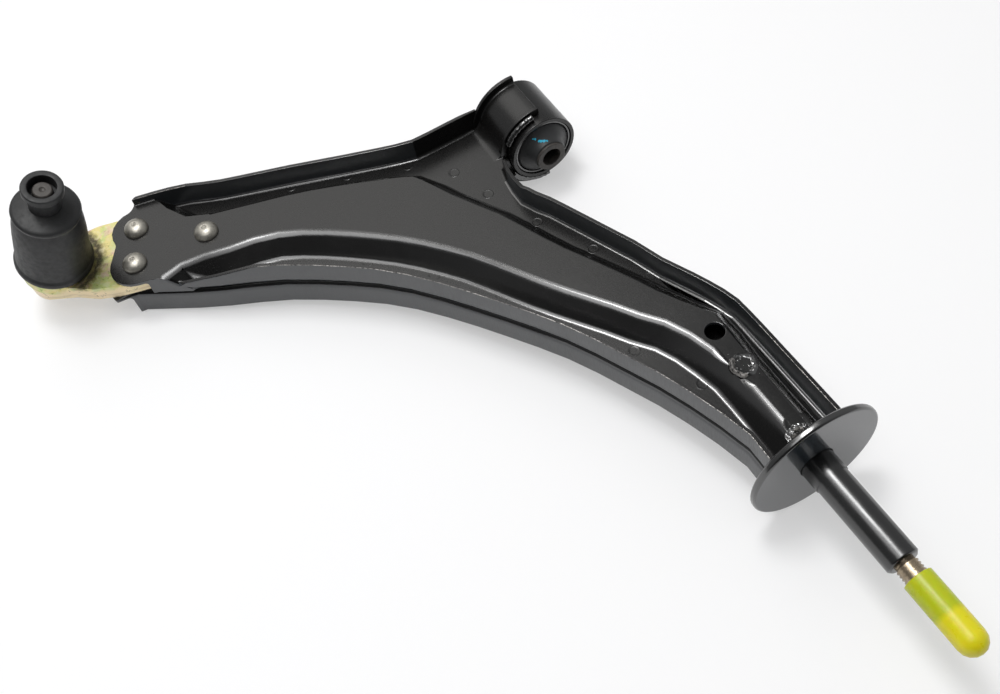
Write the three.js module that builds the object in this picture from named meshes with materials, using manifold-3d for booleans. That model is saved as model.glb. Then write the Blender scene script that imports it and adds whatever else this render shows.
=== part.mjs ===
// A pressed-steel lower control arm: two back-to-back pressings, a riveted ball joint,
// a rubber bush in a welded eye and a threaded pivot pin with a stop disc.
// Millimetres. The pivot axis runs along +Y from the stop disc to the eye, +X points inboard,
// and +Z points up, the way the ball stud stands. The parts are laid out round the middle of
// the stop disc's rear face, then the whole arm is moved so that its origin is under the middle
// of its bounding box.
import * as THREE from 'three';
import { mergeVertices } from 'three/addons/utils/BufferGeometryUtils.js';
import Module from 'manifold-3d';

const wasm = await Module();
wasm.setup();

// Main layout, measured from the middle of the stop disc's rear face
const armReach = 320;          // pivot axis to ball centre, outboard
const ballForward = 388;       // stop disc to ball centre, along the pivot axis
const ballRise = 2.3;          // ball centre above the middle of the housing plate
const eyeForward = 287;        // stop disc to the near end of the front eye
const eyeLength = 45;
const stackGap = 0.3;          // space kept between pieces that touch
const overrun = 30;            // how far a cutting solid passes its face

// Pressings
const sheet = 2.5;
const flangeHeight = 19;       // flange edge, above or below the joint between the pressings
const bendRadius = 5;
const nearWallRun = 12;        // how far the raised panel's outboard wall leans out
const farWallRun = 8.5;
const panelEdge = 1.4;         // bevel round the raised panel
const ballLow = 4.5;           // flange heights where it tapers off, by the ball and by the eye
const neckLow = 9;
const ballTaper = 62;          // length of the taper by the ball joint
const neckTaper = 47;          // length of the taper by the eye
const tipExtra = 7;            // the lower pressing is wider than the upper round the rivets
const tipLength = 16;          // and its flange reaches further outboard
const panelCorner = 17;        // panel corners, round the two outboard rivets
const drainRadius = 6.1;
const drainForward = 94;

// Rear pivot pin
const pinRadius = 10;
const pinInside = 84;          // how far the pin reaches into the arm
const pinOutside = 70;         // plain length behind the disc
const pinHeadroom = 1.5;       // between the pin and the raised panel
const pinChamfer = 1.5;
const threadRadius = 6.9;
const threadDepth = 0.9;
const threadPitch = 2;
const threadLength = 33;
const threadRelief = 1.5;
const shoulderRadius = 10.6;   // the pin is thicker where the disc sits on it
const shoulderLength = 12.8;   // and for this far behind the disc
const channelShoulder = 4;     // the channel's flat top is narrower than the pin by this, each side
const rootHalf = 23.5;         // half the arm's width by the stop disc
const rootFlare = 3;
const plugRadius = 6.5;
const plugForward = 66;
const plugCrown = 1.6;

// Stop disc
const discRadius = 42;
const discThickness = 4.5;
const discEdge = 1;

// Thread cap
const capWall = 1.5;
const capLength = 47;
const capCover = 23;           // how much thread the cap hides

// Front eye and its bush
const eyeRadius = 24;
const eyeWall = 2.6;
const upperSaddleNear = 8;     // from the eye's near end to the upper saddle's near rim
const lowerSaddleNear = 5;
const saddleFar = 2;           // from the eye's far end to the saddles' far rims
const saddleTip = 4;           // the saddles end this far past the middle of the eye
const rimHeight = 5;
const lowRimHeight = 2;        // the upper saddle's near rim
const saddleFillet = 10;       // round between the flat and the saddle
const shellWall = 1.4;
const shellInset = 1;
const sleeveRadius = 10.6;
const sleeveBore = 6.6;
const sleeveProud = 10;        // the inner sleeve stands out of the eye at both ends
const rubberInset = 2.5;
const rubberDish = 4;
const rubberNeck = 5;

// Ball joint; heights along the stud are measured from the ball centre
const studTilt = THREE.MathUtils.degToRad(16.7);   // leans inboard
const studLean = THREE.MathUtils.degToRad(12.1);   // and back, towards the stop disc
const ballRadius = 13;
const ballFlat = 10.5;
const studNeckRadius = 6.8;
const studTaperRadius = 8.6;
const studTaperEndRadius = 7.2;
const studTaperStart = 30;
const studTaperShort = 1.5;    // the taper ends this far below the boot's shoulder
const studTipRadius = 6.1;
const studTipDepth = 2.8;      // the stud's end lies this far below the boot's top
const studChamfer = 0.8;
const studDimple = 2;
const seatWall = 1.8;
const seatLip = 8.3;
const seatSplit = 2;
const cupRadius = 22;
const cupWall = 2.1;
const cupTop = 12.5;
const cupEdge = 1.2;
const retainerWidth = 4.5;
const mouthRadius = 13.2;
const plateEndRadius = 20;     // plate round the ball
const plateTip = 13;           // plate beyond the far rivet

// Rivets, in the housing plate's own directions
const plateAngle = THREE.MathUtils.degToRad(-22.1);
const rivetPairAlong = 57;
const rivetPairAcross = 14.7;
const rivetFarAlong = 105;
const rivetRadius = 5;
const rivetHeadRadius = 8.2;
const rivetHeadHeight = 5.4;
const rivetTailHeight = 4;

// Boot
const bootWall = 2.6;
const bootFootHeight = 12.9;
const bootFootRadius = 24.8;
const bootFootTop = 17;
const bootSideRadius = 23.6;
const bootShoulderRadius = 21.4;
const bootShoulderRound = 2.5;
const bootNeckRadius = 8.9;
const bootNeckHeight = 71.3;
const bootNeckRise = 3.8;      // the neck stands this far above the shoulder
const bootNeckLength = 12.3;
const bootRimRadius = 12.8;
const bootRimThickness = 5.8;
const bootRimHole = 8.6;
const bootRimDepth = 8;
const ringWire = 1.2;

// Weld beads
const beadRadius = 2.2;
const rootBeadLength = 16;

// Worked out from the sizes above
const root = new THREE.Vector2(0, 0);
const eye = new THREE.Vector2(0, eyeForward + eyeLength / 2);
const ball = new THREE.Vector2(-armReach, ballForward);
const panelInner = pinRadius + pinHeadroom;
const panelTop = panelInner + sheet;
const ballHeight = panelInner / 2 + ballRise;
const channelHalf = pinRadius - channelShoulder;
const rootStart = discThickness + stackGap;
const eyeEnd = eyeForward + eyeLength;
const saddleInner = eyeRadius + stackGap;
const saddleOuter = saddleInner + sheet;
const saddleStart = eyeForward + upperSaddleNear;
const saddleEnd = eyeEnd - saddleFar;
const pinBore = pinRadius + stackGap;
const rivetBore = rivetRadius + stackGap;
const discBore = shoulderRadius + stackGap;
const bootShoulderHeight = bootNeckHeight - bootNeckRise;
const bootRimHeight = bootNeckHeight + bootNeckLength;
const bootTop = bootRimHeight + bootRimThickness;
const studTaperEnd = bootShoulderHeight - studTaperShort;
const studLength = bootTop - studTipDepth;

const black = { color: 0x151718, roughness: 0.35, metalness: 0.3 };
const steel = { color: 0xa9a79a, roughness: 0.35, metalness: 1 };
const zinc = { color: 0xcdc396, roughness: 0.4, metalness: 0.9 };
const rubber = { color: 0x2a2a2c, roughness: 0.8, metalness: 0 };
const polymer = { color: 0xe8e4d8, roughness: 0.6, metalness: 0 };
const yellow = { color: 0xddd40f, roughness: 0.45, metalness: 0 };

// Tools for solids

function toSolid(geometry) {
  const bare = geometry.clone();
  bare.deleteAttribute('normal');
  bare.deleteAttribute('uv');
  const merged = mergeVertices(bare, 1e-4);
  return new wasm.Manifold(new wasm.Mesh({
    numProp: 3,
    vertProperties: new Float32Array(merged.attributes.position.array),
    triVerts: new Uint32Array(merged.index.array),
  }));
}

function toGeometry(solid) {
  const data = solid.getMesh();
  const geometry = new THREE.BufferGeometry();
  geometry.setAttribute('position', new THREE.BufferAttribute(data.vertProperties, data.numProp));
  geometry.setIndex(new THREE.BufferAttribute(data.triVerts, 1));
  geometry.computeVertexNormals();
  return geometry;
}

// A closed solid through rings with equal point counts, listed from the lowest up
function loft(rings) {
  const count = rings[0].points.length;
  const places = rings.flatMap((ring) => ring.points.flatMap((p) => [p.x, p.y, ring.z]));
  const faces = [];
  for (let level = 0; level + 1 < rings.length; level += 1) {
    for (let i = 0; i < count; i += 1) {
      const a = level * count + i;
      const b = level * count + ((i + 1) % count);
      faces.push(a, b, b + count, a, b + count, a + count);
    }
  }
  const last = (rings.length - 1) * count;
  for (const [a, b, c] of THREE.ShapeUtils.triangulateShape(rings[0].points, [])) {
    faces.push(a, c, b);
  }
  for (const [a, b, c] of THREE.ShapeUtils.triangulateShape(rings.at(-1).points, [])) {
    faces.push(last + a, last + b, last + c);
  }
  const geometry = new THREE.BufferGeometry();
  geometry.setAttribute('position', new THREE.Float32BufferAttribute(places, 3));
  geometry.setIndex(faces);
  return toSolid(geometry);
}

function column(points, bottom, top) {
  return loft([{ z: bottom, points }, { z: top, points }]);
}

function block(low, high) {
  const size = new THREE.Vector3().subVectors(high, low);
  const middle = new THREE.Vector3().addVectors(low, high).divideScalar(2);
  return toSolid(new THREE.BoxGeometry(size.x, size.y, size.z).translate(middle.x, middle.y, middle.z));
}

// Turned round the pivot axis; a profile lists pairs of radius and place along the axis
function turned(profile, segments = 40) {
  return new THREE.LatheGeometry(profile.map(([radius, along]) => new THREE.Vector2(radius, along)), segments);
}

function tube(inner, outer, start, end) {
  return [[inner, start], [outer, start], [outer, end], [inner, end], [inner, start]];
}

function rod(radius, start, end) {
  return [[0, start], [radius, start], [radius, end], [0, end]];
}

// The same, stood up along +Z
function standing(profile, segments) {
  return turned(profile, segments).rotateX(Math.PI / 2);
}

// Set on the ball centre, along the stud's own axis
function onStud(profile, segments) {
  return standing(profile, segments).rotateX(studLean).rotateY(studTilt)
    .translate(ball.x, ball.y, ballHeight);
}

// Tools for outlines

// Points given as shares along and across the line between two places
function between(start, end, shares) {
  const run = new THREE.Vector2().subVectors(end, start);
  const across = new THREE.Vector2(-run.y, run.x);
  return shares.map(([along, aside]) => start.clone()
    .addScaledVector(run, along)
    .addScaledVector(across, aside));
}

function smooth(points, count) {
  return new THREE.SplineCurve(points).getSpacedPoints(count);
}

// Moves an open line to its own left
function shifted(line, distance) {
  return line.map((point, i) => {
    const before = line[Math.max(i - 1, 0)];
    const after = line[Math.min(i + 1, line.length - 1)];
    const run = new THREE.Vector2().subVectors(after, before).normalize();
    return new THREE.Vector2(point.x - run.y * distance, point.y + run.x * distance);
  });
}

function arc(middle, radius, startDegrees, endDegrees, steps) {
  const points = [];
  for (let i = 0; i <= steps; i += 1) {
    const angle = THREE.MathUtils.degToRad(startDegrees + ((endDegrees - startDegrees) * i) / steps);
    points.push(new THREE.Vector2(middle.x + radius * Math.cos(angle), middle.y + radius * Math.sin(angle)));
  }
  return points;
}

// A profile's round stretch, as pairs of radius and height about a centre on the axis
function sphereProfile(radius, startHeight, endHeight, steps) {
  const start = Math.asin(startHeight / radius);
  const end = Math.asin(endHeight / radius);
  const points = [];
  for (let i = 0; i <= steps; i += 1) {
    const angle = start + ((end - start) * i) / steps;
    points.push([radius * Math.cos(angle), radius * Math.sin(angle)]);
  }
  return points;
}

// A place in the housing plate's directions, which run from the ball to the far rivet
function plate(along, across) {
  return new THREE.Vector2(along, across).rotateAround(root, plateAngle).add(ball);
}

const rivetPlaces = [
  plate(rivetPairAlong, rivetPairAcross),
  plate(rivetFarAlong, 0),
  plate(rivetPairAlong, -rivetPairAcross),
];

// Edges of the pressings, seen from above

// Outboard edge, from the ball joint to the stop disc
const nearEdgeShares = [
  [0.149, 0.011], [0.186, 0.022], [0.231, 0.038], [0.302, 0.066], [0.376, 0.084], [0.447, 0.095],
  [0.514, 0.095], [0.596, 0.088], [0.691, 0.075], [0.777, 0.052], [0.84, 0.032],
];
const nearEdge = smooth([
  ...between(ball, root, nearEdgeShares),
  new THREE.Vector2(-rootHalf - rootFlare, rootStart + rootHalf),
  new THREE.Vector2(-rootHalf - rootFlare, rootStart),
], 20);

// Inboard edge, from the stop disc to the eye
const innerEdgeShares = [
  [0.291, -0.074], [0.349, -0.068], [0.417, -0.045], [0.501, -0.01], [0.549, 0.003], [0.643, 0.039],
  [0.75, 0.081], [0.792, 0.102], [0.817, 0.111], [0.843, 0.111], [0.882, 0.107], [0.924, 0.096],
];
const innerEdge = smooth([
  new THREE.Vector2(rootHalf, rootStart),
  new THREE.Vector2(rootHalf, rootStart + rootHalf),
  ...between(root, eye, innerEdgeShares),
  new THREE.Vector2(-saddleOuter, saddleStart),
], 28);

// Forward edge, from the eye to the ball joint
const farEdgeShares = [
  [0.126, -0.037], [0.179, -0.025], [0.219, -0.016], [0.259, -0.013], [0.373, -0.029],
  [0.487, -0.048], [0.636, -0.069], [0.689, -0.083], [0.728, -0.09], [0.773, -0.093], [0.814, -0.094],
];
const farEdge = smooth([
  new THREE.Vector2(-saddleOuter, saddleEnd),
  ...between(eye, ball, farEdgeShares),
], 20);

// The next place along a line that runs on past its first point
function ahead(line, distance) {
  return line[0].clone().lerp(line[1], -distance / line[0].distanceTo(line[1]));
}

// The whole outline, its flanged edges drawn in by a distance. With a run past, the ends at
// the ball, the disc and the eye stand out that far; the lower pressing is larger at the ball.
function armOutline(inset, past, lower) {
  const near = shifted(nearEdge, inset);
  const inner = shifted(innerEdge, inset);
  const far = shifted(farEdge, inset);
  const corner = ahead(near, lower ? tipLength : stackGap);
  const foot = [
    new THREE.Vector2(near.at(-1).x, rootStart - past),
    new THREE.Vector2(inner[0].x, rootStart - past),
  ];
  const eyeSide = [
    new THREE.Vector2(inner.at(-1).x + past, inner.at(-1).y),
    new THREE.Vector2(far[0].x + past, far[0].y),
  ];
  const panelArcs = [
    ...arc(rivetPlaces[0], lower ? panelCorner + tipExtra : panelCorner, 85, 195, 6),
    ...arc(rivetPlaces[2], lower ? panelCorner + tipExtra : panelCorner, 150, lower ? 200 : 255, 6),
  ];
  const open = [
    new THREE.Vector2(ball.x - past, far.at(-1).y + past / 2),
    new THREE.Vector2(corner.x - 2 * past, corner.y - past / 2),
  ];
  return [
    corner, ...near.slice(0, -1), ...foot, ...inner.slice(1, -1),
    ...(past > 0 ? eyeSide : [inner.at(-1), far[0]]), ...far.slice(1), ...(past > 0 ? open : panelArcs),
  ];
}

// Edges of the raised panel and of the channel over the pin, the same way round
const nearPanelShares = [
  [0.073, -0.124], [0.127, -0.053], [0.153, -0.002], [0.176, 0.042], [0.199, 0.063], [0.221, 0.078],
  [0.258, 0.108], [0.296, 0.127], [0.359, 0.142], [0.443, 0.153], [0.508, 0.153], [0.553, 0.149],
  [0.65, 0.132], [0.721, 0.124], [0.767, 0.117], [0.808, 0.113], [0.85, 0.096],
];
const farPanelShares = [
  [0.12, -0.117], [0.15, -0.143], [0.195, -0.151], [0.258, -0.169], [0.321, -0.185],
  [0.366, -0.196], [0.448, -0.223], [0.503, -0.234], [0.545, -0.246], [0.575, -0.253],
  [0.599, -0.249], [0.661, -0.223], [0.731, -0.188], [0.815, -0.136], [0.845, -0.119],
  [0.867, -0.117], [0.893, -0.123], [0.92, -0.135], [0.961, -0.148], [1.111, -0.027],
];
const channelShares = [0.15, 0.4, 0.65];

function channelSide(x) {
  return channelShares.map((share) => new THREE.Vector2(x, rootStart + share * drainForward));
}

const nearPanel = smooth([
  ...between(ball, root, nearPanelShares), ...channelSide(-channelHalf).reverse(),
], 32);
const farPanel = smooth([...channelSide(channelHalf), ...between(root, ball, farPanelShares)], 36);

function panelOutline(nearInset, farInset, start) {
  const near = shifted(nearPanel, nearInset);
  const far = shifted(farPanel, farInset);
  const foot = [new THREE.Vector2(near.at(-1).x, start), new THREE.Vector2(far[0].x, start)];
  return [...near.slice(0, -1), ...foot, ...far.slice(1)];
}

// The raised panel as a solid block; drawn in and lowered by the sheet's thickness it is
// also the hollow beneath it
function panelBlock(drawIn, lower, bottom, start) {
  const top = panelTop - lower;
  const foot = sheet - lower;
  const wide = panelOutline(drawIn - nearWallRun, drawIn - farWallRun, start);
  const bevelled = panelOutline(drawIn - panelEdge, drawIn - panelEdge / 2, start);
  return loft([
    { z: bottom, points: wide }, { z: foot, points: wide },
    { z: top - panelEdge, points: bevelled }, { z: top, points: panelOutline(drawIn, drawIn, start) },
  ]);
}

// A tray's outside or inside: flat, with a round bend up into the flanges. Steps of the bend
// run from the flat (0) to the flange (1).
function tray(radius, inset, floor, top, past, lower) {
  const bendShares = [0, 1 / 3, 2 / 3, 1];
  const bend = bendShares.map((share) => {
    const angle = (share * Math.PI) / 2;
    return {
      z: floor + radius * (1 - Math.cos(angle)),
      points: armOutline(inset + radius * (1 - Math.sin(angle)), past, lower),
    };
  });
  return loft([...bend, { z: top, points: armOutline(inset, past, lower) }]);
}

// Sheet round the eye from the middle of its outboard side, with a rim at each end
function saddle(start, nearRimHeight) {
  const far = saddleOuter + rimHeight;
  const sheetTube = toSolid(turned(tube(saddleInner, saddleOuter, start, saddleEnd), 48));
  const nearRim = toSolid(turned(tube(saddleInner, saddleOuter + nearRimHeight, start, start + sheet), 48));
  const farRim = toSolid(turned(tube(saddleInner, far, saddleEnd - sheet, saddleEnd), 48));
  const room = block(new THREE.Vector3(-far, start, 0), new THREE.Vector3(saddleTip, saddleEnd, far));
  return sheetTube.add(nearRim).add(farRim).intersect(room).add(filletBlock());
}

// The hollow round between the flat and the saddle
function filletBlock() {
  const rise = sheet + saddleFillet;
  const reach = saddleOuter + saddleFillet;
  const centre = new THREE.Vector2(-Math.sqrt(reach ** 2 - rise ** 2), rise);
  const turn = THREE.MathUtils.radToDeg(Math.atan2(-rise, -centre.x));
  const curve = arc(centre, saddleFillet, turn, -90, 5);
  const section = new THREE.Shape([
    new THREE.Vector2(centre.x, 0), new THREE.Vector2(-saddleInner, 0), ...curve,
  ]);
  const depth = saddleEnd - saddleStart;
  return toSolid(new THREE.ExtrudeGeometry(section, { depth, bevelEnabled: false })
    .rotateX(Math.PI / 2).translate(0, saddleEnd, 0));
}

function eyeRoom() {
  return toSolid(turned(rod(saddleInner, eyeForward - overrun, eyeEnd + overrun), 48));
}

function holes(bottom, top) {
  const drill = rivetPlaces.map((place) => toSolid(
    standing(rod(rivetBore, bottom, top), 24).translate(place.x, place.y, 0),
  ));
  return drill.reduce((all, one) => all.add(one));
}

function bore(radius, forward) {
  return toSolid(standing(rod(radius, 0, panelTop + overrun), 24).translate(0, forward, 0));
}

function rectangle(left, right, near, far) {
  return [
    new THREE.Vector2(left, near), new THREE.Vector2(right, near),
    new THREE.Vector2(right, far), new THREE.Vector2(left, far),
  ];
}

// Wedges that lower the upper flange towards the ball joint and towards the eye
function ballWedge() {
  const left = nearEdge[0].x - overrun;
  const right = nearEdge[0].x + ballTaper;
  const near = nearEdge[0].y - 2 * overrun;
  const far = nearEdge[0].y + sheet;
  return loft([
    { z: ballLow, points: rectangle(left, nearEdge[0].x, near, far) },
    { z: flangeHeight, points: rectangle(left, right, near, far) },
    { z: flangeHeight + overrun, points: rectangle(left, right, near, far) },
  ]);
}

function neckWedge() {
  const left = -2 * saddleOuter;
  const near = saddleStart - neckTaper;
  return loft([
    { z: neckLow, points: rectangle(left, 0, saddleStart - sheet, saddleStart) },
    { z: flangeHeight, points: rectangle(left, 0, near, saddleStart) },
    { z: flangeHeight + overrun, points: rectangle(left, 0, near, saddleStart) },
  ]);
}

function topPressing() {
  const outside = tray(bendRadius, 0, 0, flangeHeight, 0, false);
  const inside = tray(bendRadius - sheet, sheet, sheet, flangeHeight + overrun, overrun, false);
  const raised = panelBlock(0, 0, 0, rootStart).intersect(column(armOutline(0, 0, false), 0, panelTop));
  const hollow = panelBlock(sheet / 2, sheet, -overrun, rootStart - overrun)
    .intersect(column(armOutline(sheet, overrun, false), -overrun, panelTop));
  return outside.subtract(inside).subtract(ballWedge()).subtract(neckWedge())
    .add(raised).subtract(hollow).add(saddle(saddleStart, lowRimHeight))
    .subtract(eyeRoom()).subtract(bore(drainRadius, drainForward))
    .subtract(bore(plugRadius + stackGap, plugForward)).subtract(plateRoom())
    .subtract(holes(-overrun, panelTop + overrun));
}

// The lower pressing is drawn upside down, then turned over about the joint between the two
function bottomPressing() {
  const outside = tray(bendRadius, 0, 0, flangeHeight, 0, true);
  const inside = tray(bendRadius - sheet, sheet, sheet, flangeHeight + overrun, overrun, true);
  const reach = pinBore + sheet;
  const above = block(new THREE.Vector3(-reach, 0, 0), new THREE.Vector3(reach, eyeForward, reach));
  const trough = toSolid(turned(rod(reach, rootStart, pinInside + stackGap + sheet), 32)).intersect(above);
  const pinRoom = toSolid(turned(rod(pinBore, -overrun, pinInside + stackGap), 32));
  return outside.subtract(inside).subtract(neckWedge())
    .add(saddle(eyeForward + lowerSaddleNear, rimHeight)).add(trough)
    .subtract(pinRoom).subtract(eyeRoom()).subtract(holes(-overrun, overrun));
}

// Mirroring turns the faces inside out, so each triangle is turned back
function turnedOver(solid) {
  const geometry = toGeometry(solid).scale(1, 1, -1);
  const index = geometry.index.array;
  for (let i = 0; i < index.length; i += 3) {
    [index[i + 1], index[i + 2]] = [index[i + 2], index[i + 1]];
  }
  geometry.computeVertexNormals();
  return geometry;
}

// Pivot pin, stop disc and cap

function rearPin() {
  const profile = [[0, pinInside], [pinRadius - pinChamfer, pinInside], [pinRadius, pinInside - pinChamfer]];
  profile.push([pinRadius, discThickness], [shoulderRadius, discThickness]);
  profile.push([shoulderRadius, -shoulderLength], [pinRadius, -shoulderLength - stackGap]);
  profile.push([pinRadius, -pinOutside + pinChamfer], [pinRadius - pinChamfer, -pinOutside]);
  const rootRadius = threadRadius - threadDepth;
  const turns = Math.floor((threadLength - threadRelief) / threadPitch);
  profile.push([rootRadius, -pinOutside]);
  for (let i = 0; i < turns; i += 1) {
    const start = -pinOutside - threadRelief - i * threadPitch;
    profile.push([rootRadius, start], [threadRadius, start - threadPitch / 2]);
  }
  profile.push([rootRadius, -pinOutside - threadLength], [0, -pinOutside - threadLength]);
  return turned(profile.reverse(), 24);
}

function stopDisc() {
  return turned([
    [discBore, 0], [discRadius - discEdge, 0], [discRadius, discEdge],
    [discRadius, discThickness - discEdge], [discRadius - discEdge, discThickness],
    [discBore, discThickness], [discBore, 0],
  ], 56);
}

function threadCap() {
  const inner = threadRadius + stackGap;
  const outer = inner + capWall;
  const mouth = -pinOutside - threadLength + capCover;
  const end = mouth - capLength;
  const straight = end + outer;
  const dome = (radius) => [1, 2, 3, 4].map((i) => {
    const angle = (i * Math.PI) / 8;
    return [radius * Math.cos(angle), straight - radius * Math.sin(angle)];
  });
  const outside = [[outer, mouth], [outer, straight], ...dome(outer).slice(0, -1), [0, end]];
  const inside = [[inner, mouth], [inner, straight], ...dome(inner).slice(0, -1), [0, straight - inner]];
  return turned([...inside.reverse(), ...outside].reverse(), 28);
}

// Beads: a round bar of weld metal along an arc about the pivot axis
function ringBead(radius, along, startDegrees, endDegrees) {
  const steps = 14;
  const path = new THREE.CatmullRomCurve3(arc(root, radius, startDegrees, endDegrees, steps)
    .map((p) => new THREE.Vector3(p.x, along, p.y)));
  const section = new THREE.Shape(arc(root, beadRadius, 0, 315, 7));
  return new THREE.ExtrudeGeometry(section, { steps, bevelEnabled: false, extrudePath: path });
}

function eyeBead(saddleNear, startDegrees, endDegrees) {
  const along = eyeForward + saddleNear - beadRadius - stackGap;
  return ringBead(saddleInner + beadRadius, along, startDegrees, endDegrees);
}

function rootBead() {
  const height = panelTop + beadRadius + stackGap;
  const profile = [
    [0, -rootBeadLength / 2], [beadRadius / 2, -rootBeadLength / 2], [beadRadius, -rootBeadLength / 3],
    [beadRadius, rootBeadLength / 3], [beadRadius / 2, rootBeadLength / 2], [0, rootBeadLength / 2],
  ];
  return turned(profile, 16).rotateZ(-Math.PI / 2)
    .translate(0, rootStart + beadRadius, height);
}

function plugWeld() {
  const top = panelTop + plugCrown;
  return standing([
    [0, pinRadius + stackGap], [plugRadius - plugCrown, pinRadius + stackGap], [plugRadius, panelTop],
    [plugRadius - plugCrown, top - plugCrown / 3], [0, top],
  ], 24).translate(0, plugForward, 0);
}

// Front bush

const shellOuter = eyeRadius - eyeWall - stackGap;
const shellInner = shellOuter - shellWall;

function frontEye() {
  return turned(tube(eyeRadius - eyeWall, eyeRadius, eyeForward, eyeEnd), 48);
}

function bushShell() {
  return turned(tube(shellInner, shellOuter, eyeForward + shellInset, eyeEnd - shellInset), 40);
}

function bushRubber() {
  const outer = shellInner - stackGap;
  const inner = sleeveRadius + stackGap;
  const middle = (outer + inner) / 2;
  const near = eyeForward + rubberInset;
  const far = eyeEnd - rubberInset;
  return turned([
    [inner, near - rubberNeck], [inner + bootWall / 2, near - rubberNeck],
    [middle, near + rubberDish], [outer, near], [outer, far],
    [middle, far - rubberDish], [inner + bootWall / 2, far + rubberNeck],
    [inner, far + rubberNeck], [inner, near - rubberNeck],
  ], 36);
}

function bushSleeve() {
  return turned(tube(sleeveBore, sleeveRadius, eyeForward - sleeveProud, eyeEnd + sleeveProud), 36);
}

// Ball joint

const liner = ballRadius + stackGap;
const seatOuter = liner + seatWall;
const cupBore = seatOuter + stackGap;
const retainerBottom = seatLip + stackGap;
const retainerOuter = mouthRadius + retainerWidth;

// Half the plate's width, in shares of its length from the ball to the far rivet
const plateShares = [[0.12, 0.205], [0.27, 0.255], [0.4, 0.267], [0.6, 0.25], [0.87, 0.145]];
const plateEndTurn = 110;
const plateTipTurn = 58;

function housingOutline(grown) {
  const side = plateShares.map(([along, across]) => [along * rivetFarAlong, across * rivetFarAlong + grown]);
  const tip = arc(new THREE.Vector2(rivetFarAlong, 0), plateTip + grown, -plateTipTurn, plateTipTurn, 7);
  const end = arc(root, plateEndRadius + grown, plateEndTurn, 360 - plateEndTurn, 12);
  return [
    ...end.map((p) => plate(p.x, p.y)),
    ...side.map(([along, across]) => plate(along, -across)),
    ...tip.map((p) => plate(p.x, p.y)),
    ...side.reverse().map(([along, across]) => plate(along, across)),
  ];
}

// The upper pressing stays clear of the plate wherever the ball joint is put
function plateRoom() {
  return column(housingOutline(stackGap), -overrun, panelInner);
}

function ballHousing() {
  const slab = column(housingOutline(0), stackGap, panelInner - stackGap);
  const bowl = sphereProfile(cupBore + cupWall, -cupBore - cupWall, 0, 7);
  const cup = toSolid(onStud([
    ...bowl, [cupRadius, cupWall], [cupRadius, cupTop - cupEdge], [cupRadius - cupEdge, cupTop], [0, cupTop],
  ], 36));
  const cavity = toSolid(onStud([
    ...sphereProfile(cupBore, -cupBore, 0, 6), [cupBore, seatLip],
    [retainerOuter + stackGap, seatLip], [retainerOuter + stackGap, cupTop + overrun],
    [0, cupTop + overrun],
  ], 32));
  return slab.add(cup).subtract(cavity).subtract(holes(-overrun, panelTop + overrun));
}

function seatUpper() {
  const inside = sphereProfile(liner, seatSplit, seatLip - stackGap, 4);
  return onStud([...inside.slice().reverse(), [seatOuter, seatSplit], [seatOuter, seatLip - stackGap],
    inside.at(-1)], 28);
}

function seatLower() {
  const inside = sphereProfile(liner, -liner, seatSplit - stackGap, 6);
  const outside = sphereProfile(seatOuter, -seatOuter, 0, 6);
  return onStud([...outside, [seatOuter, seatSplit - stackGap], ...inside.reverse()], 28);
}

function seatRetainer() {
  return onStud(tube(mouthRadius, retainerOuter, retainerBottom, cupTop), 32);
}

function ballStud() {
  const neckStart = Math.sqrt(ballRadius ** 2 - studNeckRadius ** 2);
  return onStud([
    [0, -ballFlat], ...sphereProfile(ballRadius, -ballFlat, neckStart, 10),
    [studNeckRadius, studTaperStart - studDimple], [studTaperRadius, studTaperStart],
    [studTaperEndRadius, studTaperEnd], [studTipRadius, studTaperEnd + studDimple],
    [studTipRadius, studLength - studChamfer], [studTipRadius - studChamfer, studLength],
    [studDimple, studLength], [0, studLength - studDimple],
  ], 28);
}

function rivet(place) {
  const top = panelTop + stackGap;
  const bottom = -sheet - stackGap;
  const head = [1, 2, 3, 4].map((i) => {
    const angle = (i * Math.PI) / 10;
    return [rivetHeadRadius * Math.cos(angle), top + rivetHeadHeight * Math.sin(angle)];
  });
  const tail = rivetHeadRadius - rivetTailHeight / 4;
  return standing([
    [0, bottom - rivetTailHeight], [tail - rivetTailHeight / 2, bottom - rivetTailHeight],
    [tail, bottom - rivetTailHeight / 2], [tail, bottom], [rivetRadius, bottom],
    [rivetRadius, top], [rivetHeadRadius, top], ...head, [0, top + rivetHeadHeight],
  ], 24).translate(place.x, place.y, 0);
}

// Boot: the bell sits on the cup, the collar grips the stud

function boot() {
  const shoulderIn = bootShoulderRadius - bootShoulderRound;
  const footIn = bootFootRadius - 2 * bootWall;
  const grip = studTipRadius + stackGap;
  const outside = [
    [bootFootRadius, bootFootHeight], [bootFootRadius, bootFootTop], [bootSideRadius, bootFootTop + bootWall / 2],
    [bootShoulderRadius, bootShoulderHeight - bootShoulderRound],
    [bootShoulderRadius - bootShoulderRound / 4, bootShoulderHeight - bootShoulderRound / 4],
    [shoulderIn, bootShoulderHeight + bootShoulderRound / 4], [bootNeckRadius, bootNeckHeight],
  ];
  const inside = [
    [grip, bootNeckHeight], [grip, bootNeckHeight - bootWall],
    [shoulderIn - bootWall, bootShoulderHeight - bootWall],
    [bootShoulderRadius - bootWall, bootShoulderHeight - bootShoulderRound - bootWall],
    [bootSideRadius - bootWall, bootFootTop], [footIn, bootFootTop], [footIn, bootFootHeight],
    [bootFootRadius, bootFootHeight],
  ];
  return onStud([...outside, ...inside], 36);
}

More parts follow.
